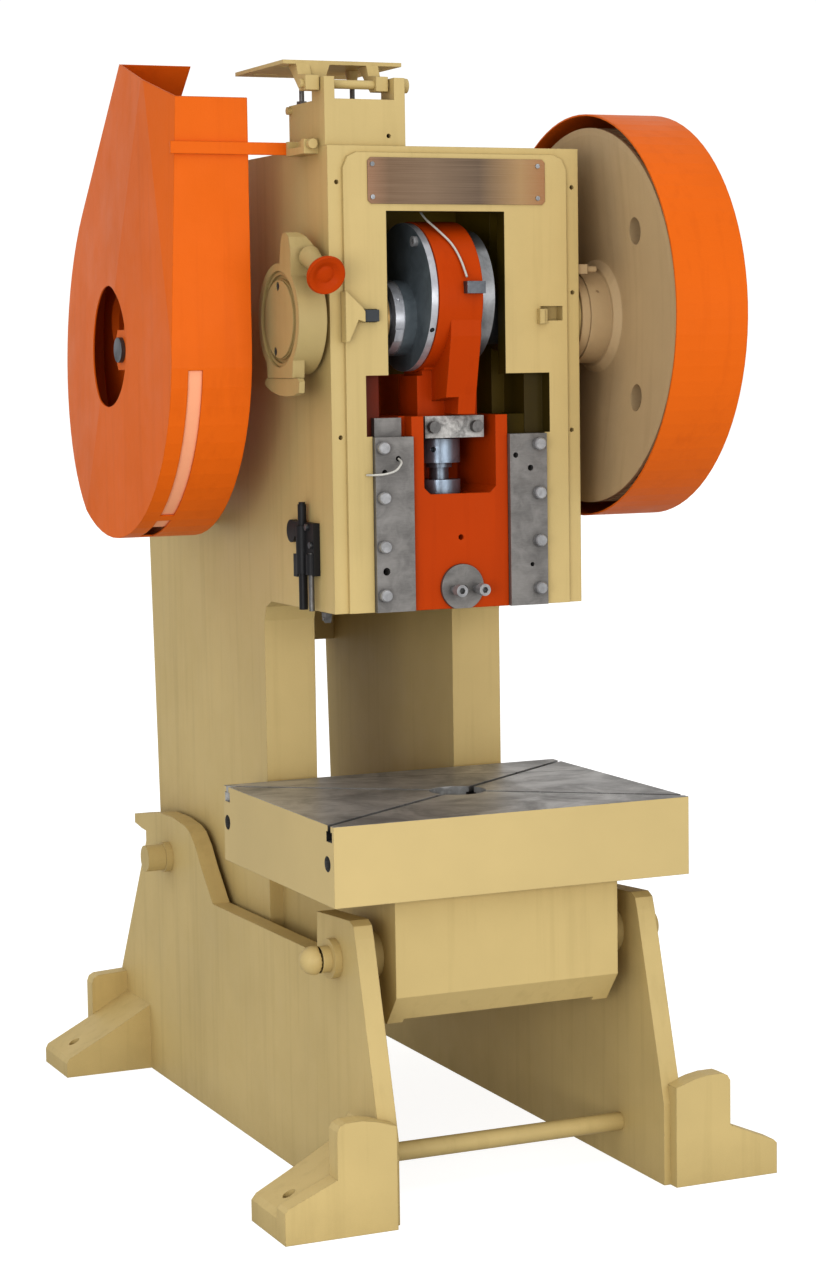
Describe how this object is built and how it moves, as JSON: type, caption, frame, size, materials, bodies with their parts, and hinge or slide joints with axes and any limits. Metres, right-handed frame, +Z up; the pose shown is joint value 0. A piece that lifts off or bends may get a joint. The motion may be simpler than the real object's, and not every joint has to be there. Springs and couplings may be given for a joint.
{
  "type": "mechanical stamping press",
  "caption": "Open-back C-frame mechanical stamping press on two cast legs: geared crank drive, connecting rod with screw adjustment, gibbed ram, T-slotted table and sheet-metal guards.",
  "frame": {"origin": "centre of the footprint of the whole machine, at floor level", "axes": "+Z up, the operator stands on the -Y side, +X to the operator's right, towards the drive gear; the crankshaft lies along X"},
  "size_m": [1.004, 1.453, 2.056],
  "materials": {
    "cream": "satin",
    "orange": "satin",
    "table_steel": "satin",
    "machined_steel": "satin",
    "dark_steel": "satin",
    "gear_paint": "satin",
    "cast_iron": "rough",
    "bronze": "satin",
    "black": "satin",
    "bare_plate": "brushed",
    "hose": "matte"
  },
  "bodies": {
    "frame": {"main_frame": "cream", "left_leg": "cream", "right_leg": "cream", "guard_bracket": "cream", "guard_stays": "cream", "motor_pedestal": "cream", "brake_band": "cream", "brake_anchor": "cream", "left_gib_wedge": "cream", "front_tie_rod": "cream", "front_pivot_rod": "cream", "rear_clamp_rod": "cream", "rod_collars": "cream", "hinge_pin": "cream", "belt_guard": "orange", "gear_guard": "orange", "belt_guard_strap": "orange", "bolster_table": "table_steel", "left_gib": "machined_steel", "right_gib": "machined_steel", "nameplate_rivets": "machined_steel", "clutch_stop_pin": "dark_steel", "front_stop_blocks": "dark_steel", "motor_jack_screws": "dark_steel", "gib_bolts": "dark_steel", "side_screws": "dark_steel", "trip_pins": "dark_steel", "crank_bushes": "bronze", "back_shaft_bushes": "bronze", "trip_bracket": "black", "nameplate": "bare_plate", "gib_oil_tube": "hose"},
    "crank": {"crankshaft": "dark_steel", "left_eccentric_flange": "machined_steel", "right_eccentric_flange": "machined_steel", "eccentric_flange_bolts": "machined_steel", "brake_drum": "cream", "drum_end_plate": "cream", "drum_plate_screws": "dark_steel", "crank_end_nut": "dark_steel", "clutch_collar": "gear_paint"},
    "connecting_rod": {"pitman": "orange", "pitman_clamp_plate": "machined_steel", "pitman_clamp_bolts": "dark_steel", "ball_screw": "machined_steel", "lock_nut": "machined_steel", "ball_cap": "machined_steel", "ring_oiler_block": "dark_steel", "ring_oil_tube": "hose"},
    "slide": {"ram": "orange", "shank_clamp": "machined_steel", "shank_clamp_bolts": "dark_steel"},
    "flywheel_shaft": {"back_shaft": "dark_steel", "flywheel": "cast_iron", "flywheel_nut": "dark_steel", "pinion": "dark_steel"},
    "drive_gear": {"bull_gear": "gear_paint"},
    "motor_mount": {"motor_plate": "cream"},
    "band_adjuster": {"brake_knob": "orange"},
    "trip_link": {"trip_rod": "black"}
  },
  "joints": [
    {"name": "crank_turn", "type": "hinge", "parent": "frame", "child": "crank", "pos_m": [0, -0.3335, 1.575], "axis": [1, 0, 0], "range_deg": [0, 180]},
    {"name": "rod_swing", "type": "hinge", "parent": "crank", "child": "connecting_rod", "pos_m": [0, -0.3335, 1.6125], "axis": [1, 0, 0], "range_deg": [-180, 0]},
    {"name": "ram_slide", "type": "slide", "parent": "frame", "child": "slide", "axis": [0, 0, 1], "range_m": [-0.0751, 0]},
    {"name": "back_shaft_spin", "type": "hinge", "parent": "frame", "child": "flywheel_shaft", "pos_m": [0, 0.0765, 1.525], "axis": [1, 0, 0], "continuous": true},
    {"name": "gear_spin", "type": "hinge", "parent": "frame", "child": "drive_gear", "pos_m": [0.352, -0.3335, 1.575], "axis": [1, 0, 0], "continuous": true},
    {"name": "motor_plate_tilt", "type": "hinge", "parent": "frame", "child": "motor_mount", "pos_m": [-0.172, -0.3815, 1.99], "axis": [1, 0, 0], "range_deg": [0, 12]},
    {"name": "band_adjust", "type": "hinge", "parent": "frame", "child": "band_adjuster", "pos_m": [-0.28, -0.475, 1.6526], "axis": [0, -0.9061, -0.4231], "continuous": true},
    {"name": "trip_pull", "type": "slide", "parent": "frame", "child": "trip_link", "axis": [0, 0, 1], "range_m": [-0.012, 0], "stiffness_N_per_m": 2500, "springref_m": 0.004}
  ],
  "couplings": [
    {"joint": "rod_swing", "follows": "crank_turn", "ratio": -1},
    {"joint": "ram_slide", "follows": "crank_turn", "m_per_rad": -0.023873},
    {"joint": "gear_spin", "follows": "back_shaft_spin", "ratio": -0.20408}
  ]
}
